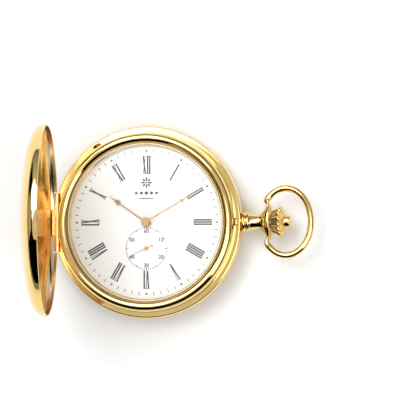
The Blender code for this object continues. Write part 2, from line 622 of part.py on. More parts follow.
def build_electrics(plastic, steel, copper, board_green, silver):
    """Battery with its clamp, circuit board, quartz, chip, stator and coil."""
    battery = [(0, 2.9), (BATTERY_R - 0.3, 2.9), (BATTERY_R - 0.3, 3.1), (BATTERY_R, 3.2),
               (BATTERY_R, 5.3), (0, 5.3)]
    add("battery", place(turned(battery, 32), at(*BATTERY_AT)), silver)
    x, y = BATTERY_AT
    clamp = [(x - 0.7, y - 3.0), (x + 0.7, y - 3.0), (x + 0.7, y + 3.8), (x - 0.7, y + 3.8)]
    add("battery_clamp", plate(clamp, 2.6, 2.8), steel)
    board = [(-1.4, 3.7), (8.4, 3.7), (8.0, 6.4), (5.0, 9.2), (1.0, 10.2), (-1.4, 9.4)]
    add("circuit_board", plate(board, 4.5, 4.8), board_green)
    add("driver_chip", block((1.0, 5.0, 3.9), (3.2, 7.2, 4.45)), plastic)
    quartz = place(turned_x([(4.2, 0), (4.2, 0.6), (8.0, 0.6), (8.0, 0)], 12), at(y=4.8, z=3.85))
    add("quartz_resonator", quartz, silver)
    outline = [(3.7, -6.9), (3.7, -5.4), (5.6, -3.5), (5.6, -1.3), (8.2, -1.3), (8.2, -1.95), (6.5, -1.95),
               (6.5, -7.9), (8.0, -7.9), (8.0, -8.45), (5.4, -8.45)]
    add("stator", plate(outline, 5.05, 5.35, [circle(0.8, ROTOR_AXIS, 12)]), steel)
    core = add("coil_core", block((COIL_X - 0.3, -8.4, 4.2), (COIL_X + 0.3, -1.35, 4.6)), steel)
    for y in (-8.4, -1.95):
        boolean(core, block((COIL_X - 0.3, y, 4.5), (COIL_X + 0.3, y + 0.6, 5.0)), "UNION")
    wire = [(0.46, -7.5), (0.95, -7.5), (0.95, -2.3), (0.46, -2.3)]
    coil = turned(wire, 16)
    coil.transform(at(COIL_X, 0, 4.4) @ Matrix.Rotation(math.radians(-90), 4, "X"))
    add("coil", coil, copper)


def main():
    """Build every piece."""
    clear_scene()
    gold = material("gold_plate", (0.86, 0.66, 0.30), 1.0, 0.12)
    brass = material("brass", (0.80, 0.63, 0.32), 1.0, 0.3)
    steel = material("steel", (0.72, 0.72, 0.74), 1.0, 0.25)
    enamel = material("white_enamel", (0.93, 0.93, 0.92), 0.0, 0.25)
    glass = material("mineral_glass", (0.95, 0.97, 0.97), 0.0, 0.03)
    rubber = material("gasket_rubber", (0.05, 0.05, 0.05), 0.0, 0.6)
    plastic = material("moulded_plastic", (0.75, 0.74, 0.70), 0.0, 0.5)
    copper = material("copper_wire", (0.78, 0.42, 0.24), 1.0, 0.35)
    board_green = material("circuit_board", (0.10, 0.30, 0.16), 0.0, 0.45)
    build_back_cover(gold)
    build_case(gold)
    build_front_cover(gold)
    build_case_springs(steel)
    build_bezel(gold, glass, rubber)
    build_dial(enamel)
    build_pendant(gold, steel)
    build_crown(gold, steel)
    build_holder(plastic, brass, steel)
    build_plates(brass, steel)
    build_train(brass, steel, gold)
    build_setting(steel)
    build_electrics(plastic, steel, copper, board_green, steel)


main()
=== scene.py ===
"""Looks of a gold-plated hunter pocket watch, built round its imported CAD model.

Each sub-assembly is a class with its sizes in millimetres; meshes are made in metres, in place.
"""

import logging
import math
from dataclasses import dataclass, field
from enum import Enum
from functools import partial
from typing import Callable, Iterable, Sequence

import bmesh
import bpy
from bmesh.types import BMesh, BMVert
from mathutils import Matrix, Vector


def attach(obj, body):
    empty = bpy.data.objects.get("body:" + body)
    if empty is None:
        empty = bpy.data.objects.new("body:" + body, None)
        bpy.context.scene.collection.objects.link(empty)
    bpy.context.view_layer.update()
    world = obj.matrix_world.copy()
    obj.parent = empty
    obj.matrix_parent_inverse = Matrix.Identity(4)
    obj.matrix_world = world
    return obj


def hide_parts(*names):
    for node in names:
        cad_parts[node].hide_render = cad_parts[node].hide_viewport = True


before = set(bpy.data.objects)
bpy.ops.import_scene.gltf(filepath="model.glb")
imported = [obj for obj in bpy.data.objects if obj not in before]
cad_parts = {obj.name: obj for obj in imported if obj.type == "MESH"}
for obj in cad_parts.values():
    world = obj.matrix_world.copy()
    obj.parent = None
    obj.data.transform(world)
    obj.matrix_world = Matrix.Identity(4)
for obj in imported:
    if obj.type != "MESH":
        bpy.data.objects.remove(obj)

LOG = logging.getLogger("pocket_watch")
MM = 0.001
ON_AXIS = 1e-6
SHARP_DEG = 35.0
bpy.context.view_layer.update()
Pair = tuple[float, float]
Triple = tuple[float, float, float]
Outline = list[Pair]
Reshape = Callable[[float, float, float], Triple]


# Colour and nodes ----


def linear(hex_code: str) -> tuple[float, float, float, float]:
    """Turn an sRGB hex colour to linear.

    Args:
        hex_code: six hex digits, with or without a leading #.

    Returns:
        Linear red, green, blue and an alpha of 1.
    """
    digits = hex_code.lstrip("#")
    parts = [int(digits[i:i + 2], 16) / 255.0 for i in (0, 2, 4)]
    lit = [c / 12.92 if c <= 0.04045 else ((c + 0.055) / 1.055) ** 2.4 for c in parts]
    return (lit[0], lit[1], lit[2], 1.0)


def add_node(tree: bpy.types.NodeTree, kind: str, settings: dict | None = None,
             values: dict | None = None, links: dict | None = None) -> bpy.types.Node:
    """Add a node with its settings, its input values and its incoming links.

    Args:
        tree: the node tree.
        kind: the node's type name.
        settings: attributes to set on the node.
        values: input name or index to value.
        links: input name or index to the output socket that feeds it.

    Returns:
        The new node.
    """
    made = tree.nodes.new(kind)
    for key, value in (settings or {}).items():
        setattr(made, key, value)
    for key, value in (values or {}).items():
        made.inputs[key].default_value = value
    for key, source in (links or {}).items():
        tree.links.new(source, made.inputs[key])
    return made


@dataclass(frozen=True)
class Finish:
    """A surface: what the real one is, how it was made, and how fine its texture is.

    Args:
        name: the finish's plain name.
        base: main colour, sRGB hex.
        patch_colour: second colour that the surface drifts to in patches, sRGB hex; on the cover's inside
            and the hinge knuckles its coral is painted reflection.
        metallic: 1 for a bare metal.
        roughness: mean roughness.
        drift: how far roughness wanders.
        grain_mm: size of the fine texture, in millimetres.
        bump: strength of the fine texture.
        patch_mm: size of the colour patches.
        stretch: texture stretch along X, Y and Z, for drawn or brushed surfaces.
        coat: clear coat weight.
        alpha: opacity.
        ior: index of refraction, for a finish that isn't a bare metal.
    """

    name: str
    base: str
    patch_colour: str
    metallic: float = 0.0
    roughness: float = 0.4
    drift: float = 0.05
    grain_mm: float = 0.2
    bump: float = 0.05
    patch_mm: float = 6.0
    stretch: Triple = (1.0, 1.0, 1.0)
    coat: float = 0.0
    alpha: float = 1.0
    ior: float = 1.5

    def material(self) -> bpy.types.Material:
        """Build the node material, once."""
        found = bpy.data.materials.get(self.name)
        if found:
            return found
        mat = bpy.data.materials.new(self.name)
        mat.use_nodes = True
        tree = mat.node_tree
        shader = tree.nodes["Principled BSDF"]
        spot = add_node(tree, "ShaderNodeTexCoord").outputs["Object"]
        turn = add_node(tree, "ShaderNodeMapping", values={"Scale": self.stretch}, links={"Vector": spot})
        patch = self.noise(tree, self.patch_mm, 3.0, spot)
        grain = self.noise(tree, self.grain_mm, 4.0, turn.outputs["Vector"])
        ramp = add_node(tree, "ShaderNodeValToRGB", links={"Fac": patch})
        for stop, position, colour in zip(ramp.color_ramp.elements, (0.35, 0.75), (self.base, self.patch_colour)):
            stop.position, stop.color = position, linear(colour)
        tree.links.new(ramp.outputs["Color"], shader.inputs["Base Color"])
        rough = add_node(tree, "ShaderNodeMapRange", links={"Value": grain}, values={
            "To Min": max(self.roughness - self.drift, 0.01), "To Max": self.roughness + self.drift})
        tree.links.new(rough.outputs["Result"], shader.inputs["Roughness"])
        bump = add_node(tree, "ShaderNodeBump", links={"Height": grain}, values={
            "Strength": self.bump, "Distance": 0.05 * self.grain_mm * MM})
        tree.links.new(bump.outputs["Normal"], shader.inputs["Normal"])
        values = {"Metallic": self.metallic, "Coat Weight": self.coat, "Coat Roughness": 0.04,
                  "Alpha": self.alpha}
        if self.metallic < 0.5:
            values["IOR"] = self.ior
        for key, value in values.items():
            shader.inputs[key].default_value = value
        return mat

    @staticmethod
    def noise(tree: bpy.types.NodeTree, size_mm: float, detail: float,
              vector: bpy.types.NodeSocket) -> bpy.types.NodeSocket:
        """Add noise of a given patch size and return its strength.

        Args:
            tree: the node tree.
            size_mm: size of a patch in millimetres.
            detail: how many finer layers it has.
            vector: where it is read.

        Returns:
            The output that carries the noise.
        """
        values = {"Scale": 1.0 / (size_mm * MM), "Detail": detail}
        return add_node(tree, "ShaderNodeTexNoise", values=values, links={"Vector": vector}).outputs["Fac"]


# Gold electroplate over polished brass: a mirror, with a trace of buffing haze.
GOLD = Finish("polished_gold_plate", "#EDCD84", "#F1D590", metallic=1.0, roughness=0.05, drift=0.02,
              grain_mm=0.12, bump=0.02, patch_mm=9.0)
# The inside of the cover: gold plate, with a paler base and coral patches painted in as reflection.
GOLD_INSIDE_PAINTED_REFLECTION = Finish("gold_plate_inside_painted_reflection", "#F4E3B6", "#EDC6AC", metallic=1.0, roughness=0.18, drift=0.05,
                     grain_mm=0.25, bump=0.05, patch_mm=11.0)
# Hinge knuckles: plate over filed copper alloy, with coral patches that are painted reflection of the
# cover's inside.
GOLD_KNUCKLE_PAINTED_REFLECTION = Finish("gold_plate_filed_painted_reflection", "#EBC47A", "#E6B07A", metallic=1.0, roughness=0.2, drift=0.05,
                      grain_mm=0.1, bump=0.1, patch_mm=2.0)
# Stamped hands in rose-gold plate.
ROSE_GOLD = Finish("rose_gold_hands", "#AE8454", "#9C7448", metallic=1.0, roughness=0.22, drift=0.05,
                   grain_mm=0.1, bump=0.05, patch_mm=3.0)
# Lacquered brass dial: white stoved enamel paint under a clear coat.
LACQUER = Finish("white_dial_lacquer", "#FBFBFA", "#F7F7F6", roughness=0.3, drift=0.03, grain_mm=0.3,
                 bump=0.01, patch_mm=14.0, coat=0.5)
# Pad-printed ink, a little raised.
INK = Finish("dark_dial_print", "#1D1215", "#251A1C", roughness=0.5, grain_mm=0.1, bump=0.1, patch_mm=3.0)
INK_GREY = Finish("grey_dial_print", "#3E383E", "#4A444A", roughness=0.5, grain_mm=0.1, bump=0.1,
                  patch_mm=3.0)
# Mineral glass, clean: almost all of the light goes through.
CRYSTAL = Finish("mineral_crystal", "#FFFFFF", "#FAFDFF", roughness=0.03, drift=0.01, grain_mm=1.0,
                 bump=0.0, alpha=0.05, ior=1.52)
STEEL = Finish("ground_spring_steel", "#B9BBBF", "#A8AAAE", metallic=1.0, roughness=0.28, drift=0.08,
               grain_mm=0.15, bump=0.15, patch_mm=4.0, stretch=(1.0, 6.0, 6.0))
BRASS = Finish("grained_movement_brass", "#D8BE7A", "#C9AA62", metallic=1.0, roughness=0.32, drift=0.08,
               grain_mm=0.15, bump=0.15, patch_mm=4.0, stretch=(6.0, 1.0, 1.0))
NICKEL = Finish("nickel_plated_case", "#C9CACC", "#BBBDC0", metallic=1.0, roughness=0.24, drift=0.06,
                grain_mm=0.2, bump=0.06)
ACETAL = Finish("moulded_holder_acetal", "#E4E2DA", "#DAD7CC", roughness=0.5, grain_mm=0.4, bump=0.12)
CHIP = Finish("potted_chip_resin", "#17171A", "#222226", roughness=0.55, grain_mm=0.15, bump=0.15)
# The crystal's gasket is natural nylon: milky, with a slight sheen.
NYLON = Finish("gasket_nylon", "#EBCFA6", "#E2BE96", roughness=0.35, grain_mm=0.3, bump=0.05)
BOARD = Finish("solder_mask", "#1E5B37", "#246A41", roughness=0.35, grain_mm=0.3, bump=0.1, coat=0.3)
COPPER = Finish("enamelled_copper_wire", "#B9653A", "#A8562F", metallic=1.0, roughness=0.3, drift=0.08,
                grain_mm=0.06, bump=0.4, stretch=(1.0, 8.0, 1.0))


# Meshes ----


def arc(centre: Pair, radii: Pair, first: float, sweep: float,
        steps: int) -> Outline:
    """Points along part of an ellipse.

    Args:
        centre: its middle.
        radii: its half-widths.
        first: start angle, in degrees.
        sweep: how far it goes round, in degrees.
        steps: points, less one.

    Returns:
        The points in order.
    """
    angles = [math.radians(first + sweep * i / steps) for i in range(steps + 1)]
    return [(centre[0] + radii[0] * math.cos(a), centre[1] + radii[1] * math.sin(a)) for a in angles]


def rounded(outline: Outline, radius: float, count: int = 5) -> Outline:
    """Round every corner of a closed outline that isn't on the axis.

    Args:
        outline: points in order.
        radius: how far each corner is cut back, in millimetres.
        count: points in each rounded corner, less one.

    Returns:
        The rounded outline.
    """
    points: Outline = []
    for i, corner in enumerate(outline):
        here, before = Vector(corner), Vector(outline[i - 1])
        after = Vector(outline[(i + 1) % len(outline)])
        if abs(corner[0]) < ON_AXIS and min(abs(before[0]), abs(after[0])) < ON_AXIS:
            points.append(corner)
            continue
        back, ahead = before - here, after - here
        cut = min(radius, 0.45 * back.length, 0.45 * ahead.length)
        start, end = here + back.normalized() * cut, here + ahead.normalized() * cut
        for k in range(count + 1):
            t = k / count
            spot = (1 - t) ** 2 * start + 2 * t * (1 - t) * here + t * t * end
            points.append((spot.x, spot.y))
    return points


def revolve(outline: Outline, steps: int = 192, shape: Reshape | None = None) -> BMesh:
    """Turn a closed (radius, height) outline about Z.

    Args:
        outline: the section.
        steps: faces round the turn.
        shape: optional rule that moves each (x, y, z) point.

    Returns:
        A closed mesh in millimetres.
    """
    bm = bmesh.new()
    rings: list[list[BMVert]] = []
    for radius, height in outline:
        if abs(radius) < ON_AXIS:
            rings.append([bm.verts.new((0.0, 0.0, height))] * steps)
            continue
        turn = [math.tau * i / steps for i in range(steps)]
        rings.append([bm.verts.new((radius * math.cos(a), radius * math.sin(a), height)) for a in turn])
    for low, high in zip(rings, rings[1:] + rings[:1]):
        for i in range(steps):
            k = (i + 1) % steps
            corners = list(dict.fromkeys((low[i], low[k], high[k], high[i])))
            if len(corners) > 2:
                bm.faces.new(corners)
    if shape:
        for vert in bm.verts:
            vert.co = shape(*vert.co)
    bmesh.ops.recalc_face_normals(bm, faces=bm.faces)
    return bm


def along_x(bm: BMesh, height: float) -> BMesh:
    """Lay a mesh turned about Z along the X axis at a height."""
    bm.transform(Matrix.Translation((0, 0, height)) @ Matrix.Rotation(math.radians(90), 4, "Y"))
    return bm


def slab(outline: Outline, low: float, high: float) -> BMesh:
    """Draw a flat outline out between two heights."""
    bm = bmesh.new()
    face = bm.faces.new([bm.verts.new((x, y, low)) for x, y in outline])
    raised = bmesh.ops.extrude_face_region(bm, geom=[face])["geom"]
    for vert in (v for v in raised if isinstance(v, BMVert)):
        vert.co.z = high
    bmesh.ops.recalc_face_normals(bm, faces=bm.faces)
    return bm


def box(low: Sequence[float], high: Sequence[float]) -> BMesh:
    """A plain block between two corners, for cutting."""
    bm = bmesh.new()
    size = [b - a for a, b in zip(low, high)]
    middle = [(a + b) / 2 for a, b in zip(low, high)]
    bmesh.ops.create_cube(bm, size=1.0, matrix=Matrix.LocRotScale(middle, None, size))
    return bm


def merge(parts: Iterable[BMesh]) -> BMesh:
    """Put several meshes into one."""
    whole = bmesh.new()
    for part in parts:
        flat = bpy.data.meshes.new("part")
        part.to_mesh(flat)
        part.free()
        whole.from_mesh(flat)
        bpy.data.meshes.remove(flat)
    return whole


def add_object(name: str, data: bpy.types.ID) -> bpy.types.Object:
    """Make an object and put it in the scene."""
    obj = bpy.data.objects.new(name, data)
    bpy.context.scene.collection.objects.link(obj)
    return obj


def plain_mesh(obj: bpy.types.Object) -> bpy.types.Mesh:
    """Copy an object's shape, with its modifiers applied, to a new mesh."""
    bpy.context.view_layer.update()
    graph = bpy.context.evaluated_depsgraph_get()
    return bpy.data.meshes.new_from_object(obj.evaluated_get(graph))


def piece(name: str, bm: BMesh, finish: Finish, body: str = "", stands_for: Sequence[str] = (),
          sharp: float = SHARP_DEG, place: Matrix | None = None) -> bpy.types.Object:
    """Make a finished piece in metres, in place, and tell the frame about it.

    Args:
        name: the piece's name.
        bm: its mesh in millimetres.
        finish: its finish.
        body: the CAD body that it moves with; left out for a cutter.
        stands_for: the CAD nodes it replaces.
        sharp: edges over this angle stay sharp, in degrees.
        place: a last move in millimetres.

    Returns:
        The object.
    """
    bm.transform(Matrix.Scale(MM, 4) @ (place or Matrix.Identity(4)))
    mesh = bpy.data.meshes.new(name)
    bm.to_mesh(mesh)
    bm.free()
    mesh.materials.append(finish.material())
    mesh.shade_smooth()
    mesh.set_sharp_from_angle(angle=math.radians(sharp))
    obj = add_object(name, mesh)
    if body:
        settle(obj, body, stands_for)
    return obj


def settle(obj: bpy.types.Object, body: str, stands_for: Sequence[str]) -> None:
    """Ride a piece on its body, and hide the CAD parts that it replaces."""
    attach(obj, body)
    if stands_for:
        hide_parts(*stands_for)
    LOG.info("%s rides on %s: %d faces", obj.name, body, len(obj.data.polygons))


def bake(obj: bpy.types.Object, sharp: float = SHARP_DEG) -> None:
    """Turn an object's modifiers into plain mesh and drop them."""
    mesh = plain_mesh(obj)
    obj.modifiers.clear()
    old, obj.data = obj.data, mesh
    bpy.data.meshes.remove(old)
    mesh.shade_smooth()
    mesh.set_sharp_from_angle(angle=math.radians(sharp))


def carve(obj: bpy.types.Object, cutters: Iterable[BMesh], place: Matrix | None = None) -> None:
    """Cut meshes out of an object and apply the cuts."""
    tools = [piece(f"cutter_{i}", bm, GOLD, place=place) for i, bm in enumerate(cutters)]
    for tool in tools:
        cut = obj.modifiers.new(tool.name, "BOOLEAN")
        cut.operation, cut.object, cut.solver = "DIFFERENCE", tool, "EXACT"
    bake(obj)
    for tool in tools:
        bpy.data.objects.remove(tool, do_unlink=True)


def dress(finish: Finish, *nodes: str) -> None:
    """Give CAD nodes that stay their finish."""
    for name in nodes:
        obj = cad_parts[name]
        obj.data.materials.clear()
        obj.data.materials.append(finish.material())


# Case ----


def dome(radius: float, depth: float, fullness: float, count: int, inner: float = 0.0) -> Outline:
    """Points of a dome from its rim to its middle.

    Args:
        radius: rim radius.
        depth: how far it rises.
        fullness: 2 is an ellipse; more is boxier.
        count: points, less one.
        inner: radius of the flat in its middle.

    Returns:
        (radius, rise) points.
    """
    points: Outline = []
    for i in range(count + 1):
        angle = math.radians(90.0) * i / count
        across = max(math.cos(angle), 0.0) ** (2.0 / fullness)
        points.append((inner + (radius - inner) * across, depth * math.sin(angle) ** (2.0 / fullness)))
    return points


@dataclass(frozen=True)
class Hinge:
    """The cover's hinge: where its pin runs and how far the cover stands open."""

    x: float = -22.8
    z: float = 7.5
    open_deg: float = 83.0
    knuckle_r: float = 0.75
    half: float = 7.4
    cover_half: float = 3.2
    notch_half: float = 7.6
    tongue_half: float = 1.0

    def opened(self) -> Matrix:
        """The turn that carries a shut cover to where it stands open."""
        pin = Vector((self.x, 0, self.z))
        turn = Matrix.Rotation(math.radians(-self.open_deg), 4, "Y")
        return Matrix.Translation(pin) @ turn @ Matrix.Translation(-pin)

    def notch(self) -> BMesh:
        """The space the hinge takes in the band and the bezel."""
        return box((-25.0, -self.notch_half, 6.3), (self.x + 0.85, self.notch_half, 8.35))

    def along_y(self) -> Matrix:
        """The move that lays a shape drawn about Z along the pin."""
        return Matrix.Translation((self.x, 0, self.z)) @ Matrix.Rotation(math.radians(90), 4, "X")

    def leaf(self, foot: Outline, first: float, sweep: float, near: float, far: float) -> BMesh:
        """One hinge knuckle with its foot, drawn out along the pin.

        Args:
            foot: foot points about the pin, in X and Z.
            first: start angle of the barrel, in degrees.
            sweep: how far the barrel goes round, in degrees.
            near: lower end along Y.
            far: upper end along Y.

        Returns:
            The closed mesh in millimetres.
        """
        barrel = arc((0.0, 0.0), (self.knuckle_r, self.knuckle_r), first, sweep, 36)
        bm = slab([*foot, *barrel], -far, -near)
        ends = [e for e in bm.edges if abs(e.verts[0].co.z - e.verts[1].co.z) < ON_AXIS]
        bmesh.ops.bevel(bm, geom=ends, offset=0.08, segments=2, affect="EDGES", clamp_overlap=True)
        bm.transform(self.along_y())
        return bm

    def build(self) -> None:
        """Make the case's two knuckles, the pin and the cover's knuckle."""
        foot = [(-0.5, -1.15), (0.6, -1.15)]
        # The case knuckles and the cover knuckle take the gold with coral patches of painted reflection.
        for word, side in (("upper", 1), ("lower", -1)):
            near, far = sorted((side * (self.cover_half + 0.15), side * self.half))
            piece(f"hinge_knuckle_{word}", self.leaf(foot, -35, 250, near, far), GOLD_KNUCKLE_PAINTED_REFLECTION, "case",
                  [f"case_hinge_knuckle_{word}"])
        pin = revolve([(0, -7.4), (0.22, -7.4), (0.3, -7.32), (0.3, 7.32), (0.22, 7.4), (0, 7.4)], 24)
        pin.transform(self.along_y())
        piece("hinge_pin_rod", pin, GOLD, "case", ["hinge_pin"])
        tab = [(0.31, 1.3), (0.12, 1.3)]
        leaf = self.leaf(tab, 79, 342, -self.cover_half, self.cover_half)
        knuckle = piece("cover_knuckle", leaf, GOLD_KNUCKLE_PAINTED_REFLECTION, place=self.opened())
        gap = self.tongue_half + 0.25
        space = box((self.x - 1, -gap, self.z - 1), (self.x + 1, gap, self.z + 0.8))
        carve(knuckle, [space], self.opened())
        settle(knuckle, "front_cover", ["cover_hinge_knuckle"])


@dataclass(frozen=True)
class BackCover:
    """Snap-on back: a shallow dome, flat in the middle, with a lip that holds it in the case."""

    radius: float = 23.75
    depth: float = 3.6
    rise: float = 4.2
    flat: float = 8.0
    lip: float = 22.5

    def build(self) -> None:
        """Turn the back with its lip."""
        outside = [(r, self.depth - d) for r, d in dome(self.radius, self.depth, 2.1, 40, self.flat)]
        hollow = dome(self.lip - 0.45, self.depth - 0.5, 2.1, 30, self.flat)
        inside = [(r, self.depth - d) for r, d in hollow]
        section = [(self.lip, self.rise), (self.radius - 0.15, self.rise), (self.radius, self.rise - 0.15),
                   *outside, (0, 0), (0, 0.5), *inside[::-1], (self.lip - 0.5, self.rise + 0.25),
                   (self.lip, self.rise + 0.25)]
        piece("back_shell", revolve(section), GOLD, "back", ["back_cover"])


@dataclass(frozen=True)
class Band:
    """The case band with its ledge, and the bezel that snaps over it."""

    radius: float = 24.0
    bore: float = 21.0
    ledge: float = 7.4
    bezel_middle: Pair = (21.0, 8.35)
    bezel_half: Pair = (1.43, 1.8)
    hinge_slot: tuple[float, float, float, float] = (-22.0, -19.5, 5.75, 8.7)
    lock_half: float = 0.95
    hinge: Hinge = field(default_factory=Hinge)

    def build(self) -> None:
        """Turn the band and the bezel, then cut the hinge notch and the spring slots."""
        section = [(self.bore, self.ledge), (self.bore, 4.6), (22.6, 4.6), (22.6, 4.3), (23.6, 4.3),
                   (self.radius, 5.0), (self.radius, 6.7), (23.7, self.ledge)]
        band = piece("case_band", revolve(rounded(section, 0.25)), GOLD)
        stem = along_x(revolve([(0, 19), (1.35, 19), (1.35, 25), (0, 25)], 48), 5.85)
        slots = [self.slot(*self.hinge_slot), self.slot(19.5, 23.2, 6.95, 8.9, self.lock_half)]
        carve(band, [self.hinge.notch(), stem, *slots])
        settle(band, "case", ["case_middle"])
        crest = arc(self.bezel_middle, self.bezel_half, 0.0, 146.0, 40)
        edge = [(19.75, 8.9), (19.15, 8.9), (19.2, 7.85), (20.7, 7.85)]
        section = [(20.7, 7.5), (22.35, 7.5), (22.43, 7.58), *crest, *edge]
        bezel = piece("bezel_ring", revolve(section), GOLD)
        slots = [self.slot(*self.hinge_slot), self.slot(21.6, 24.0, 7.0, 8.9, self.lock_half)]
        carve(bezel, [self.hinge.notch(), *slots])
        settle(bezel, "case", ["crystal_bezel"])

    @staticmethod
    def slot(near: float, far: float, low: float, high: float, half: float = 1.4) -> BMesh:
        """A slot for a case spring."""
        return box((near, -half, low), (far, half, high))


@dataclass(frozen=True)
class Crystal:
    """Domed glass in its gasket."""

    radius: float = 19.4
    inner: float = 18.2
    edge: float = 8.95
    top: float = 10.4

    def build(self) -> None:
        """Turn the glass and its gasket."""
        over = arc((0.0, 9.65), (self.radius, 0.75), 0.0, 87.0, 29)
        under = arc((0.0, 9.0), (self.inner, 0.5), 0.0, 87.0, 29)
        section = [(self.radius, self.edge), *over, (0, self.top), (0, 9.5), *under[::-1],
                   (self.inner, self.edge)]
        glass = piece("crystal_glass", revolve(section), CRYSTAL, "case", ["crystal"])
        glass.visible_shadow = False
        ring = [(19.45, 8.95), (19.7, 8.95), (19.7, 9.6), (19.45, 9.6)]
        seal = revolve(rounded(ring, 0.08))
        piece("crystal_seal", seal, NYLON, "case", ["crystal_gasket"])


@dataclass(frozen=True)
class FrontCover:
    """Domed hunter cover that stands open."""

    radius: float = 23.77
    depth: float = 5.86
    rim: float = 0.6
    wall: float = 0.5
    fullness: float = 2.4
    hinge: Hinge = field(default_factory=Hinge)

    def build(self) -> None:
        """Turn the cover shut, cut its hinge gap, and stand it open."""
        low = self.hinge.z
        inner = self.radius - 0.55
        outer_dome = dome(self.radius, self.depth - self.rim, self.fullness, 44)
        inner_dome = dome(inner, self.depth - 2 * self.wall, self.fullness, 44)
        outside = [(r, low + self.rim + d) for r, d in outer_dome]
        inside = [(r, low + self.wall + d) for r, d in inner_dome]
        section = [(inner + 0.08, low), (self.radius - 0.12, low), (self.radius, low + 0.12), *outside[:-1],
                   (0, outside[-1][1]), (0, inside[-1][1]), *inside[:-1][::-1], (inner, low + 0.08)]
        shell = piece("cover_shell", revolve(section, 216), GOLD, place=self.hinge.opened())
        half = self.hinge.notch_half
        gap = box((-25, -half, low - 1), (self.hinge.x + 1.2, half, low + self.hinge.knuckle_r + 0.08))
        carve(shell, [gap], self.hinge.opened())
        # The inner faces get the paler gold with coral patches, which are painted reflection.
        shell.data.materials.append(GOLD_INSIDE_PAINTED_REFLECTION.material())
        shut = self.hinge.opened().inverted()
        for face in shell.data.polygons:
            spot = shut @ (face.center / MM)
            facing = shut.to_3x3() @ face.normal
            out = Vector((spot.x, spot.y, 2.0 * (spot.z - low)))
            if facing.dot(out) < 0:
                face.material_index = 1
        settle(shell, "front_cover", ["front_cover"])


# Pendant end ----


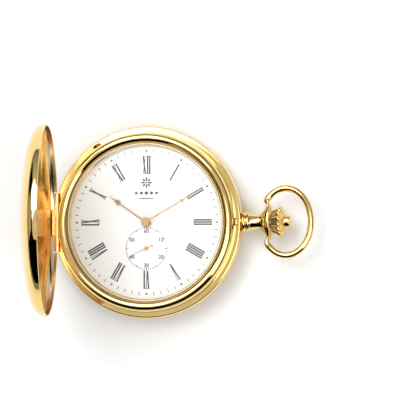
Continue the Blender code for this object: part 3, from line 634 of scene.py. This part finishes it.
@dataclass(frozen=True)
class PendantEnd:
    """Beaded neck and flattened head, the bow, the fluted crown and the release button."""

    stem_z: float = 5.85
    pivot_x: float = 30.2
    head_half: float = 4.45
    bow_x: float = 35.0
    bow_long: float = 6.3
    bow_wide: float = 8.35
    wire: float = 0.82
    crown_x: float = 31.3
    crown_long: float = 3.4
    crown_r: float = 3.85
    flutes: int = 14
    button_r: float = 1.6
    button_tip: float = 36.1
    press: float = 0.8

    def build(self) -> None:
        """Make the four pieces."""
        self.pendant()
        piece("bow_wire", self.bow(), GOLD, "bow", ["bow"])
        piece("crown_knob", self.crown(), GOLD, "crown", ["crown"])
        start, r, tip = self.crown_x + 1.3 + self.press, self.button_r, self.button_tip
        section = [(0, start), (r, start), (r, tip - 0.2), (r - 0.2, tip), (0, tip)]
        cap = along_x(revolve(rounded(section, 0.2), 64), self.stem_z)
        piece("button_cap", cap, GOLD, "button", ["release_button"])

    def pendant(self) -> None:
        """Turn the neck and head, flatten the head, and bore it for the bow's pins."""
        plug, far = 1.3, self.head_half
        neck = [(plug, 24.1), (2.35, 24.1), (2.6, 24.5), (2.45, 24.9), (2.15, 25.05), (2.5, 25.3),
                (2.5, 25.8), (2.05, 26.1), (1.8, 28.2), (2.15, 28.9)]
        flare = [(2.85, 29.5), (3.7, 30.0), (far, 30.5), (far, 31.0), (4.1, 31.0), (3.8, 30.75)]
        bore = [(1.42, 30.75), (1.42, 24.35), (0.95, 24.35), (0.95, 23.0), (plug, 23.0)]
        turned = revolve(rounded([*neck, *flare, *bore], 0.3), 96, self.flatten)
        head = piece("pendant_head", along_x(turned, self.stem_z), GOLD)
        pivot = Matrix.Translation((self.pivot_x, 0, self.stem_z))
        holes = []
        for side in (-1, 1):
            hole = revolve([(0, 3.35), (0.42, 3.35), (0.42, 6.0), (0, 6.0)], 24)
            hole.transform(pivot @ Matrix.Rotation(math.radians(-90 * side), 4, "X"))
            holes.append(hole)
        carve(head, holes)
        settle(head, "case", ["pendant"])

    @staticmethod
    def flatten(x: float, y: float, z: float) -> Triple:
        """Thin the head, and leave the neck and the bore round; z runs along the pendant."""
        share = min(max((z - 28.2) / 2.2, 0.0), 1.0)
        return (x * (1.0 - 0.38 * share) if math.hypot(x, y) >= 1.5 else x, y, z)

    def bow(self) -> BMesh:
        """An oval wire from pivot to pivot, with a pin at each end."""
        bm = bmesh.new()
        reach = math.acos((self.pivot_x - self.bow_x) / self.bow_long)
        count, sides = 90, 24
        rings = []

        def ring(middle: Sequence[float], out: Vector, radius: float) -> list[BMVert]:
            """A ring of points in the plane of a direction and Z."""
            turn = [math.tau * i / sides for i in range(sides)]
            spokes = [out * math.cos(a) + Vector((0, 0, 1)) * math.sin(a) for a in turn]
            return [bm.verts.new(Vector(middle) + radius * spoke) for spoke in spokes]

        for i in range(count + 1):
            angle = -reach + 2 * reach * i / count
            out = Vector((math.cos(angle) / self.bow_long, math.sin(angle) / self.bow_wide, 0)).normalized()
            middle = (self.bow_x + self.bow_long * math.cos(angle), self.bow_wide * math.sin(angle),
                      self.stem_z)
            rings.append(ring(middle, Vector((-1, 0, 0)) if i in (0, count) else out, self.wire))
        for side in (-1, 1):
            collar = self.head_half + 0.1
            sizes = ((3.5, 0.34), (collar, 0.34), (collar, 0.52), (self.head_half + 0.16, 0.6))
            chain = [ring((self.pivot_x, side * y, self.stem_z), Vector((-1, 0, 0)), r) for y, r in sizes]
            rings = [*chain, *rings] if side < 0 else [*rings, *chain[::-1]]
        for a, b in zip(rings, rings[1:]):
            for i in range(sides):
                k = (i + 1) % sides
                bm.faces.new((a[i], a[k], b[k], b[i]))
        bm.faces.new(rings[0])
        bm.faces.new(rings[-1])
        bmesh.ops.recalc_face_normals(bm, faces=bm.faces)
        return bm

    def crown(self) -> BMesh:
        """A knob that flares to its fluted rim, with a bore for the button."""
        root, tip, bore = self.crown_x, self.crown_x + self.crown_long, self.button_r + 0.06
        section = [(2.4, root), (2.9, root + 0.3), (3.5, root + 1.6), (self.crown_r, root + 2.2),
                   (self.crown_r - 0.1, root + 2.6), (2.6, tip - 0.2), (2.2, tip), (bore, tip),
                   (bore, root + 1.2), (0.92, root + 1.2), (0.92, root)]

        def fluted(x: float, y: float, z: float) -> Triple:
            """Press the flutes into the outside."""
            if math.hypot(x, y) <= 2.5:
                return (x, y, z)
            wave = abs(math.cos(0.5 * self.flutes * math.atan2(-x, y)))
            factor = 1.0 - 0.13 * (1.0 - wave ** 0.7)
            return (x * factor, y * factor, z)

        return along_x(revolve(rounded(section, 0.22), self.flutes * 16, fluted), self.stem_z)


# Repeats ----


class MarkRing:
    """Geometry Nodes: one mark copied round a ring, all of them or only some."""

    INPUTS = (("Mark", "NodeSocketObject"), ("Count", "NodeSocketInt"), ("Radius", "NodeSocketFloat"),
              ("Every", "NodeSocketInt"), ("Leave Out", "NodeSocketBool"), ("Centre", "NodeSocketVector"),
              ("Spread", "NodeSocketFloat"), ("Seed", "NodeSocketInt"), ("Material", "NodeSocketMaterial"))

    def __init__(self) -> None:
        """Build the node tree."""
        tree = self.tree = bpy.data.node_groups.new("marks_round_a_ring", "GeometryNodeTree")
        face = tree.interface
        face.new_socket("Geometry", in_out="OUTPUT", socket_type="NodeSocketGeometry")
        self.keys = {name: face.new_socket(name, in_out="INPUT", socket_type=kind).identifier
                     for name, kind in self.INPUTS}
        add = partial(add_node, tree)
        given = add("NodeGroupInput").outputs
        ring = add("GeometryNodeMeshCircle", links={
            "Vertices": given["Count"], "Radius": given["Radius"]})
        index = add("GeometryNodeInputIndex").outputs[0]
        step = add("ShaderNodeMath", {"operation": "DIVIDE"}, {0: math.tau}, {1: given["Count"]})
        angle = add("ShaderNodeMath", {"operation": "MULTIPLY"},
                         links={0: index, 1: step.outputs[0]})
        turn = add("ShaderNodeCombineXYZ", links={"Z": angle.outputs[0]})
        rest = add("ShaderNodeMath", {"operation": "MODULO"}, links={0: index, 1: given["Every"]})
        kept = add("FunctionNodeCompare", {"operation": "LESS_THAN"}, {"B": 0.5},
                        {"A": rest.outputs[0]})
        chosen = add("FunctionNodeBooleanMath", {"operation": "XOR"},
                          links={0: kept.outputs[0], 1: given["Leave Out"]})
        low = add("ShaderNodeMath", {"operation": "SUBTRACT"}, {0: 1.0}, {1: given["Spread"]})
        size = add("FunctionNodeRandomValue", {"data_type": "FLOAT"}, {3: 1.0},
                        {2: low.outputs[0], "Seed": given["Seed"]})
        mark = add("GeometryNodeObjectInfo", links={"Object": given["Mark"]})
        copies = add("GeometryNodeInstanceOnPoints", links={
            "Points": ring.outputs["Mesh"], "Selection": chosen.outputs[0],
            "Instance": mark.outputs["Geometry"], "Rotation": turn.outputs[0], "Scale": size.outputs[1]})
        moved = add("GeometryNodeTransform", links={
            "Geometry": copies.outputs["Instances"], "Translation": given["Centre"]})
        plain = add("GeometryNodeRealizeInstances", links={"Geometry": moved.outputs["Geometry"]})
        coated = add("GeometryNodeSetMaterial", links={
            "Geometry": plain.outputs["Geometry"], "Material": given["Material"]})
        add("NodeGroupOutput", links={"Geometry": coated.outputs["Geometry"]})

    def build(self, name: str, mark: BMesh, finish: Finish, count: int, radius: float,
              body: str, every: int = 1, leave_out: bool = False, centre: Sequence[float] = (0, 0, 0),
              spread: float = 0.02, seed: int = 7) -> bpy.types.Object:
        """Copy a mark round a ring and turn the copies into plain mesh.

        Args:
            name: name of the ring.
            mark: the mark in millimetres, about the origin and lying along X.
            finish: its finish.
            count: places round the ring.
            radius: ring radius in millimetres.
            body: CAD body that it moves with.
            every: which places count as kept.
            leave_out: use the other places instead.
            centre: middle of the ring in millimetres.
            spread: how much smaller a mark may come out.
            seed: seed of the spread.

        Returns:
            The object.
        """
        stamp = piece("mark", mark, finish)
        obj = add_object(name, bpy.data.meshes.new(name))
        nodes = obj.modifiers.new("marks", "NODES")
        nodes.node_group = self.tree
        for key, value in {"Mark": stamp, "Count": count, "Radius": radius * MM, "Every": every,
                           "Leave Out": leave_out, "Centre": [c * MM for c in centre], "Spread": spread,
                           "Seed": seed, "Material": finish.material()}.items():
            nodes[self.keys[key]] = value
        bake(obj)
        bpy.data.objects.remove(stamp, do_unlink=True)
        settle(obj, body, [])
        return obj


# Dial and hands ----


class Stroke(Enum):
    """Strokes of a printed numeral, by width in millimetres."""

    THICK = 0.4
    THIN = 0.18
    SERIF = 0.13


@dataclass(frozen=True)
class Dial:
    """White dial: radial Roman hours, minute dashes, raised dots, and a small seconds track."""

    radius: float = 20.5
    low: float = 7.3
    top: float = 7.7
    foot: float = 12.0
    head: float = 16.6
    print_high: float = 0.02
    minute_r: float = 17.83
    dot_r: float = 17.8
    seconds: Pair = (0.0, -6.5)
    seconds_r: float = 5.05
    figure_r: float = 4.25
    figure_size: float = 1.35
    letter_space: float = 0.15
    wide_letter: float = 0.95
    rosette_y: float = 9.9
    row_y: float = 7.3
    rule_y: float = 5.9
    numerals: tuple[str, ...] = ("XII", "I", "II", "III", "IIII", "V", "VI", "VII", "VIII", "IX", "X", "XI")

    def build(self, marks: MarkRing) -> None:
        """Make the disc and everything printed on it."""
        section = [(0.75, self.low), (self.radius, self.low), (self.radius, self.top), (0.75, self.top)]
        disc = piece("dial_disc", revolve(rounded(section, 0.05, 2), 144), LACQUER)
        hole = revolve([(0, 7), (0.32, 7), (0.32, 8), (0, 8)], 32)
        hole.transform(Matrix.Translation((*self.seconds, 0)))
        carve(disc, [hole])
        settle(disc, "case", ["dial"])
        for i, word in enumerate(self.numerals):
            piece(f"hour_{i or 12}", self.numeral(word, 90 - 30 * i), INK, "case")
        z = self.top
        dash = box((-0.42, -0.09, 0), (0.42, 0.09, self.print_high))
        marks.build("minute_dashes", dash, INK_GREY, 60, self.minute_r, "case", 5, True, (0, 0, z))
        dot = bmesh.new()
        bmesh.ops.create_uvsphere(dot, u_segments=24, v_segments=12, radius=0.3)
        dot.transform(Matrix.Scale(0.6, 4, (0, 0, 1)))
        marks.build("hour_dots", dot, ROSE_GOLD, 12, self.dot_r, "case", centre=(0, 0, z), spread=0.0)
        self.small_seconds(marks)
        self.ornament(marks)

    def numeral(self, word: str, turn_deg: float) -> BMesh:
        """A radial numeral, feet to the middle.

        Args:
            word: its letters, I, V and X.
            turn_deg: where it stands, anticlockwise from +X.

        Returns:
            Its raised print in millimetres.
        """
        space, bar = self.letter_space, Stroke.THICK.value
        widths = {"I": bar, "V": self.wide_letter, "X": self.wide_letter}
        total = sum(widths[c] for c in word) + space * (len(word) - 1)
        at, parts = -total / 2, []
        for letter in word:
            parts += self.letter(letter, at, widths[letter])
            at += widths[letter] + space
        return merge(self.raised(quad, turn_deg, i) for i, quad in enumerate(parts))

    @staticmethod
    def letter(letter: str, left: float, wide: float) -> list[Outline]:
        """Strokes of one letter as (across, share of height) quads.

        Args:
            letter: I, V or X.
            left: its left side.
            wide: its width.

        Returns:
            Quads, each of 4 points.
        """
        right, bar, hair = left + wide, Stroke.THICK.value, Stroke.THIN.value
        serif = Stroke.SERIF.value / (Dial.head - Dial.foot)

        def slant(top: float, bottom: float, width: float) -> Outline:
            """A stroke from its top middle to its bottom middle."""
            return [(bottom - width / 2, 0.0), (bottom + width / 2, 0.0), (top + width / 2, 1.0),
                    (top - width / 2, 1.0)]

        def foot(middle: float, half: float, low: float) -> Outline:
            """A serif."""
            return [(middle - half, low), (middle + half, low), (middle + half, low + serif),
                    (middle - half, low + serif)]

        centre = (left + right) / 2
        if letter == "I":
            return [slant(centre, centre, bar), foot(centre, bar * 0.7, 0.0),
                    foot(centre, bar * 0.7, 1.0 - serif)]
        tops = [foot(left + bar / 2, bar * 0.78, 1.0 - serif), foot(right - hair, bar * 0.55, 1.0 - serif)]
        if letter == "V":
            thin = slant(right - hair, centre + 0.1, hair)
            return [slant(left + bar / 2, centre, bar * 0.9), thin, *tops]
        feet = [foot(right - bar / 2, bar * 0.78, 0.0), foot(left + hair, bar * 0.55, 0.0)]
        thin = slant(right - hair, left + hair, hair)
        return [slant(left + bar / 2, right - bar / 2, bar), thin, *tops, *feet]

    def raised(self, quad: Sequence[Pair], turn_deg: float, layer: int) -> BMesh:
        """Raise one stroke as print, standing on its radius."""
        outline = [(self.foot + (self.head - self.foot) * share, -across) for across, share in quad]
        bm = slab(outline, self.top - 0.005, self.top + self.print_high + 0.001 * layer)
        bm.transform(Matrix.Rotation(math.radians(turn_deg), 4, "Z"))
        return bm

    def small_seconds(self, marks: MarkRing) -> None:
        """Track and figures of the small seconds dial."""
        centre, z = (*self.seconds, self.top), self.print_high
        short = box((-0.2, -0.09, 0), (0.2, 0.09, z))
        marks.build("seconds_ticks", short, INK, 60, self.seconds_r + 0.12, "case", 5, True, centre)
        tall = box((-0.3, -0.13, 0), (0.3, 0.13, z))
        marks.build("seconds_fives", tall, INK, 60, self.seconds_r, "case", 5, False, centre)
        for i, word in enumerate(("60", "10", "20", "30", "40", "50")):
            angle = math.radians(90 - 60 * i)
            across, up = self.figure_r * math.cos(angle), self.figure_r * math.sin(angle)
            spot = Vector((self.seconds[0] + across, self.seconds[1] + up, 0))
            self.figure(f"seconds_{word}", word, spot)

    def figure(self, name: str, word: str, spot: Vector) -> None:
        """Small printed figures, upright, about a spot."""
        curve = bpy.data.curves.new(name, "FONT")
        curve.body, curve.size, curve.extrude = word, self.figure_size * MM, 0.5 * self.print_high * MM
        curve.align_x, curve.align_y = "CENTER", "CENTER"
        curve.resolution_u, curve.offset = 4, 0.035 * MM
        holder = add_object(f"{name}_text", curve)
        flat = plain_mesh(holder)
        bpy.data.objects.remove(holder, do_unlink=True)
        bm = bmesh.new()
        bm.from_mesh(flat)
        bpy.data.meshes.remove(flat)
        bm.transform(Matrix.Scale(1 / MM, 4))
        bmesh.ops.remove_doubles(bm, verts=bm.verts, dist=1e-4)
        piece(name, bm, INK, "case",
              place=Matrix.Translation((spot.x, spot.y, self.top + 0.5 * self.print_high)))

    def ornament(self, marks: MarkRing) -> None:
        """A plain printed rosette, with a row of lozenges and a short rule under it."""
        z, top = self.print_high, self.top
        leaf = slab([(-0.55, 0), (-0.1, 0.24), (0.3, 0.2), (0.6, 0), (0.3, -0.2), (-0.1, -0.24)], 0, z)
        marks.build("rosette", leaf, INK, 8, 0.85, "case", centre=(0, self.rosette_y, top))
        heart = revolve([(0, 0), (0.22, 0), (0.22, z), (0, z)], 24)
        piece("rosette_heart", heart, INK, "case", place=Matrix.Translation((0, self.rosette_y, top)))
        for i in range(-2, 3):
            half, tall = 0.56 - 0.04 * abs(i), 0.5 - 0.06 * abs(i)
            lozenge = slab([(-half, 0), (0, tall), (half, 0), (0, -tall)], 0, z)
            place = Matrix.Translation((1.3 * i, self.row_y, top))
            piece(f"lozenge_{i + 3}", lozenge, INK, "case", place=place)
        rule = slab([(-2.1, 0), (-1.6, 0.11), (1.6, 0.11), (2.1, 0), (1.6, -0.11), (-1.6, -0.11)], 0, z)
        piece("short_rule", rule, INK, "case", place=Matrix.Translation((0, self.rule_y, top)))


@dataclass(frozen=True)
class Hand:
    """One stamped hand: a hub, a tapering needle and a swelling."""

    name: str
    body: str
    angle: float
    length: float
    low: float
    thick: float
    swell: Pair
    half: float
    hub: float
    centre: Pair = (0.0, 0.0)
    bore: float = 0.0
    needle_half: float = 0.13
    tip_half: float = 0.05

    def outline(self) -> Outline:
        """The hand's outline, lying along +X from its hub."""
        near, far = self.swell
        tip = [(self.length, -self.tip_half), (self.length, self.tip_half)]
        if near > 0:
            hub = arc((0.0, 0.0), (self.hub, self.hub), 10.0, 340.0, 48)
            rise = [near + (far - near) * i / 14 for i in range(15)]
            swells = [math.sin(math.pi * ((x - near) / (far - near)) ** 0.8) ** 1.3 for x in rise]
            side = [(x, self.needle_half + (self.half - self.needle_half) * swell)
                    for x, swell in zip(rise, swells)]
            lower = [(x, -y) for x, y in side]
            return [*hub, *lower, *tip, *side[::-1]]
        hub = arc((0.0, 0.0), (self.hub, self.hub), 12.0, 156.0, 20)
        middle, span = (near + far) / 2, (far - near) / 2
        ball = arc((middle, 0.0), (-span, self.half), 165.0, -150.0, 16)
        upper = [*hub, *ball]
        lower = [(x, -y) for x, y in upper[::-1]]
        return [*upper, *lower, *tip]

    def build(self) -> None:
        """Draw the hand out, bore its hub where it has a bore, and turn it to its hour."""
        bm = slab(self.outline(), self.low, self.low + self.thick)
        turn = Matrix.Rotation(math.radians(90 - self.angle), 4, "Z")
        place = Matrix.Translation((*self.centre, 0)) @ turn
        obj = piece(f"{self.name}_blade", bm, ROSE_GOLD)
        if self.bore:
            carve(obj, [revolve([(0, 8), (self.bore, 8), (self.bore, 9), (0, 9)], 32)])
        obj.data.transform(Matrix.Scale(MM, 4) @ place @ Matrix.Scale(1 / MM, 4))
        settle(obj, self.body, [self.name])


HANDS = (
    Hand("hour_hand", "hour_train", 305.0, 11.4, 8.38, 0.15, (7.9, 9.6), 0.62, 1.2, bore=0.57),
    Hand("minute_hand", "minute_train", 60.0, 16.4, 8.95, 0.15, (10.2, 11.2), 0.42, 1.0),
    Hand("seconds_hand", "seconds_train", 245.0, 3.9, 8.22, 0.1, (-1.9, -1.3), 0.3, 0.5, (0.0, -6.5)),
)


# Movement ----


class Movement:
    """The parts inside, which keep their CAD shapes."""

    FINISHES = (
        (ACETAL, ("movement_holder", "rotor", "coil_core")),
        (BRASS, ("mainplate", "train_bridge", "centre_wheel", "third_wheel", "seconds_wheel",
                 "intermediate_wheel", "hour_wheel", "minute_wheel", "setting_wheel",
                 "movement_clamp_upper", "movement_clamp_lower")),
        # The springs use the knuckles' gold, with its coral patches of painted reflection.
        (GOLD_KNUCKLE_PAINTED_REFLECTION, ("lift_spring", "lock_spring")),
        (STEEL, ("pendant_tube", "push_stem", "setting_stem", "setting_clutch",
                 "setting_lever", "clutch_yoke", "stator", "battery_clamp", "clamp_screw_upper",
                 "clamp_screw_lower", "bridge_screw_left", "bridge_screw_right", "bridge_screw_top")),
        (NICKEL, ("battery", "quartz_resonator")),
        (CHIP, ("driver_chip",)),
        (BOARD, ("circuit_board",)),
        (COPPER, ("coil",)),
    )

    def dress(self) -> None:
        """Give each part the finish it really has."""
        for finish, nodes in self.FINISHES:
            dress(finish, *nodes)


# Studio ----


@dataclass(frozen=True)
class Studio:
    """Pale floor, white surround, soft lamps and dark cards that the gold mirrors."""

    aim: Triple = (0.0, 0.0, 0.00585)
    distance: float = 1.2
    frame_width: float = 0.09976
    tilt_deg: float = 11.4
    down_deg: float = 1.8
    shift: Pair = (0.01297, 0.00561)

    def build(self) -> None:
        """Set up floor, world, lamps, cards and camera."""
        scene = bpy.context.scene
        scene.view_settings.view_transform = "Standard"
        self.world()
        self.floor()
        self.lamp("key", (-0.35, 0.55, 1.25), 0.9, 12.0)
        self.lamp("fill", (0.8, -0.45, 1.1), 0.7, 4.0)
        self.lamp("top", (0.3, -0.1, 1.45), 0.5, 2.6)
        self.card("card_left_upper", 0.5, (0.6, 1.15), (160, 310))
        self.card("card_left_far", 0.5, (0.12, 0.42), (125, 160))
        self.card("card_left_near", 0.5, (0.12, 0.6), (195, 315))
        self.card("card_right", 0.6, (0.08, 0.24), (-50, 75))
        self.wall(1.6)
        self.camera()

    @staticmethod
    def wall(radius: float) -> None:
        """A pale wall behind the floor, seen by the camera alone.

        Args:
            radius: how far off it stands, in metres.
        """
        bm = bmesh.new()
        bmesh.ops.create_cone(bm, segments=96, radius1=radius / MM, radius2=radius / MM, depth=6.0 / MM)
        wall = piece("wall", bm, Finish("pale_wall", "#F6F6F6", "#F8F8F8", roughness=1.0, grain_mm=9.0))
        shader = wall.data.materials[0].node_tree.nodes["Principled BSDF"]
        shader.inputs["Emission Color"].default_value = linear("#FFFFFF")
        shader.inputs["Emission Strength"].default_value = 0.9
        wall.visible_diffuse = wall.visible_glossy = False
        wall.visible_transmission = wall.visible_shadow = False

    def card(self, name: str, radius: float, heights: Pair,
             turn: Pair) -> None:
        """A dark curved card round the watch, seen only in what is polished.

        Args:
            name: its name.
            radius: how far off it stands, in metres.
            heights: its lower and upper edge, in metres.
            turn: where it starts and ends, in degrees anticlockwise from +X.
        """
        bm = bmesh.new()
        steps = 48
        angles = [math.radians(turn[0] + (turn[1] - turn[0]) * i / steps) for i in range(steps + 1)]
        edge = [(radius * math.cos(a) / MM, radius * math.sin(a) / MM) for a in angles]
        rows = [[bm.verts.new((x, y, z / MM)) for x, y in edge] for z in heights]
        for i in range(steps):
            bm.faces.new((rows[0][i], rows[0][i + 1], rows[1][i + 1], rows[1][i]))
        black = Finish("black_card", "#020101", "#030202", roughness=1.0, grain_mm=2.0, ior=1.0)
        card = piece(name, bm, black)
        card.visible_camera = card.visible_diffuse = False
        card.visible_transmission = card.visible_shadow = False

    def world(self) -> None:
        """A white surround that darkens toward the horizon, as a lit room does."""
        world = bpy.data.worlds.new("white_room")
        bpy.context.scene.world = world
        world.use_nodes = True
        tree = world.node_tree
        spot = add_node(tree, "ShaderNodeTexCoord")
        parts = add_node(tree, "ShaderNodeSeparateXYZ", links={"Vector": spot.outputs["Generated"]})
        ramp = add_node(tree, "ShaderNodeValToRGB", links={"Fac": parts.outputs["Z"]})
        ramp.color_ramp.elements[0].color = linear("#8E8E8E")
        ramp.color_ramp.elements[1].color = linear("#F2F2F2")
        tree.links.new(ramp.outputs["Color"], tree.nodes["Background"].inputs["Color"])
        tree.nodes["Background"].inputs["Strength"].default_value = 0.8

    def floor(self) -> None:
        """A plain pale floor."""
        bm = bmesh.new()
        bmesh.ops.create_grid(bm, x_segments=1, y_segments=1, size=4000.0)
        floor = piece("floor", bm, Finish("pale_floor", "#F4F4F4", "#F6F6F6", roughness=0.9, grain_mm=5.0))
        floor.location.z = -0.0002

    def lamp(self, name: str, spot: Sequence[float], size: float, power: float) -> None:
        """A soft square lamp that points at the watch."""
        light = bpy.data.lights.new(name, "AREA")
        light.size, light.energy = size, power
        obj = add_object(name, light)
        obj.location = spot
        obj.rotation_euler = (Vector(self.aim) - Vector(spot)).to_track_quat("-Z", "Y").to_euler()

    def camera(self) -> None:
        """Look down on the dial, a little from the pendant's side and from below."""
        tilt, down = math.radians(self.tilt_deg), math.radians(self.down_deg)
        back = Vector((math.sin(tilt), -math.sin(down), math.cos(tilt))).normalized()
        up = (Vector((0, 1, 0)) - back * back.y).normalized()
        right = up.cross(back)
        aim = Vector(self.aim) + right * self.shift[0] + up * self.shift[1]
        lens = bpy.data.cameras.new("camera")
        lens.sensor_width, lens.lens = 36.0, 36.0 * self.distance / self.frame_width
        lens.clip_start, lens.clip_end = 0.01, 10.0
        camera = add_object("camera", lens)
        turn = Matrix((right, up, back)).transposed().to_4x4()
        camera.matrix_world = Matrix.Translation(aim + back * self.distance) @ turn
        bpy.context.scene.camera = camera


def main() -> None:
    """Build every piece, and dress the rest."""
    logging.basicConfig(level=logging.INFO, format="%(message)s")
    marks = MarkRing()
    for part in (BackCover(), Band(), Crystal(), FrontCover(), Hinge(), PendantEnd(), *HANDS):
        part.build()
    Dial().build(marks)
    Movement().dress()
    Studio().build()
    bpy.context.view_layer.update()


if __name__ == "__main__":
    main()
